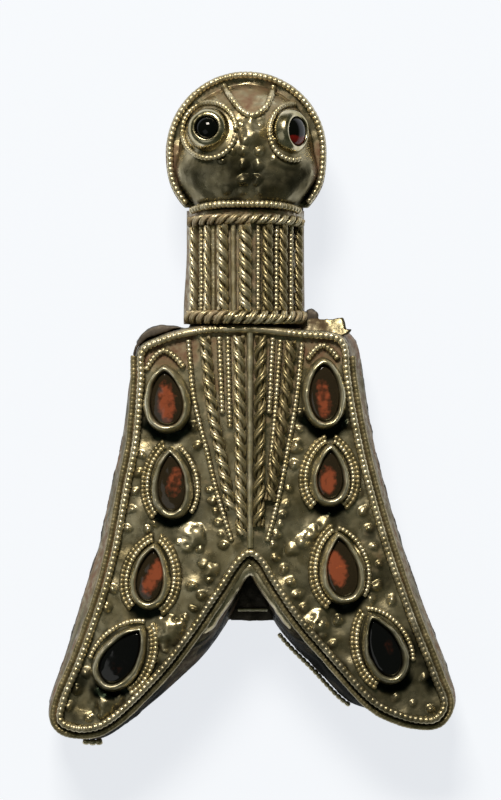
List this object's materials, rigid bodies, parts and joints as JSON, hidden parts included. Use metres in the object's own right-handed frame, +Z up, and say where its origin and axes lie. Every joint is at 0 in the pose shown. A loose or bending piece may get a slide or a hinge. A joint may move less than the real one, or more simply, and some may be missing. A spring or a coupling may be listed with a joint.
{
  "type": "fibula brooch",
  "caption": "Cicada-shaped fibula brooch of gold sheet with beaded wires, drop-shaped garnets, round eyes and a hinged pin on its back.",
  "frame": {"origin": "on the ground under the middle of the bounding box; the brooch lies on its back", "axes": "+X to the right, +Y along the length towards the head, +Z up, out of the decorated front"},
  "size_m": [0.0397, 0.0658, 0.0132],
  "materials": {
    "gold_sheet": "aged beaten gold sheet, dull olive with bright worn spots",
    "gold_wire": "beaded and twisted gold wire, rubbed bright on top",
    "gold_collar": "burnished gold collars with rounded rims",
    "garnet_red": "polished brick-red garnet, dark towards the rim",
    "garnet_dark": "polished garnet, nearly black",
    "grey_core": "corroded grey silver alloy",
    "pin_metal": "tarnished silver alloy"
  },
  "bodies": {
    "brooch": {"wing_casing": "gold_sheet", "neck_sleeve": "gold_sheet", "head_casing": "gold_sheet", "border_wire": "gold_wire", "midrib_wire": "gold_wire", "panel_left_rope_inner": "gold_wire", "panel_left_bead_first": "gold_wire", "panel_left_bead_second": "gold_wire", "panel_left_rope_outer": "gold_wire", "panel_left_bead_edge": "gold_wire", "panel_right_rope_inner": "gold_wire", "panel_right_bead_first": "gold_wire", "panel_right_bead_second": "gold_wire", "panel_right_rope_outer": "gold_wire", "panel_right_bead_edge": "gold_wire", "surround_left_1": "gold_wire", "surround_left_2": "gold_wire", "surround_left_3": "gold_wire", "surround_left_4": "gold_wire", "surround_right_1": "gold_wire", "surround_right_2": "gold_wire", "surround_right_3": "gold_wire", "surround_right_4": "gold_wire", "head_rim_wire": "gold_wire", "forehead_loop": "gold_wire", "eye_ring_left": "gold_wire", "eye_ring_right": "gold_wire", "neck_collar_ring": "gold_wire", "neck_band_upper": "gold_wire", "neck_band_lower": "gold_wire", "neck_filigree": "gold_wire", "base_wire_left": "gold_wire", "base_wire_right": "gold_wire", "bezel_left_1": "gold_collar", "bezel_left_2": "gold_collar", "bezel_left_3": "gold_collar", "bezel_left_4": "gold_collar", "bezel_right_1": "gold_collar", "bezel_right_2": "gold_collar", "bezel_right_3": "gold_collar", "bezel_right_4": "gold_collar", "eye_collar_left": "gold_collar", "eye_collar_right": "gold_collar", "garnet_left_1": "garnet_red", "garnet_left_2": "garnet_red", "garnet_left_3": "garnet_red", "garnet_right_1": "garnet_red", "garnet_right_2": "garnet_red", "garnet_right_3": "garnet_red", "garnet_left_4": "garnet_dark", "garnet_right_4": "garnet_dark", "eye_garnet_left": "garnet_dark", "eye_garnet_right": "garnet_dark", "silver_core": "grey_core", "spring_bracket": "pin_metal", "spring_axle": "pin_metal", "pin_spring": "pin_metal", "catch_plate": "pin_metal"},
    "pin": {"pin": "pin_metal"}
  },
  "joints": [
    {"name": "pin_hinge", "type": "hinge", "parent": "brooch", "child": "pin", "pos_m": [-0.00025, 0.0205, 0.0017], "axis": [0.7071, 0, 0.7071], "range_deg": [0, 25]}
  ]
}
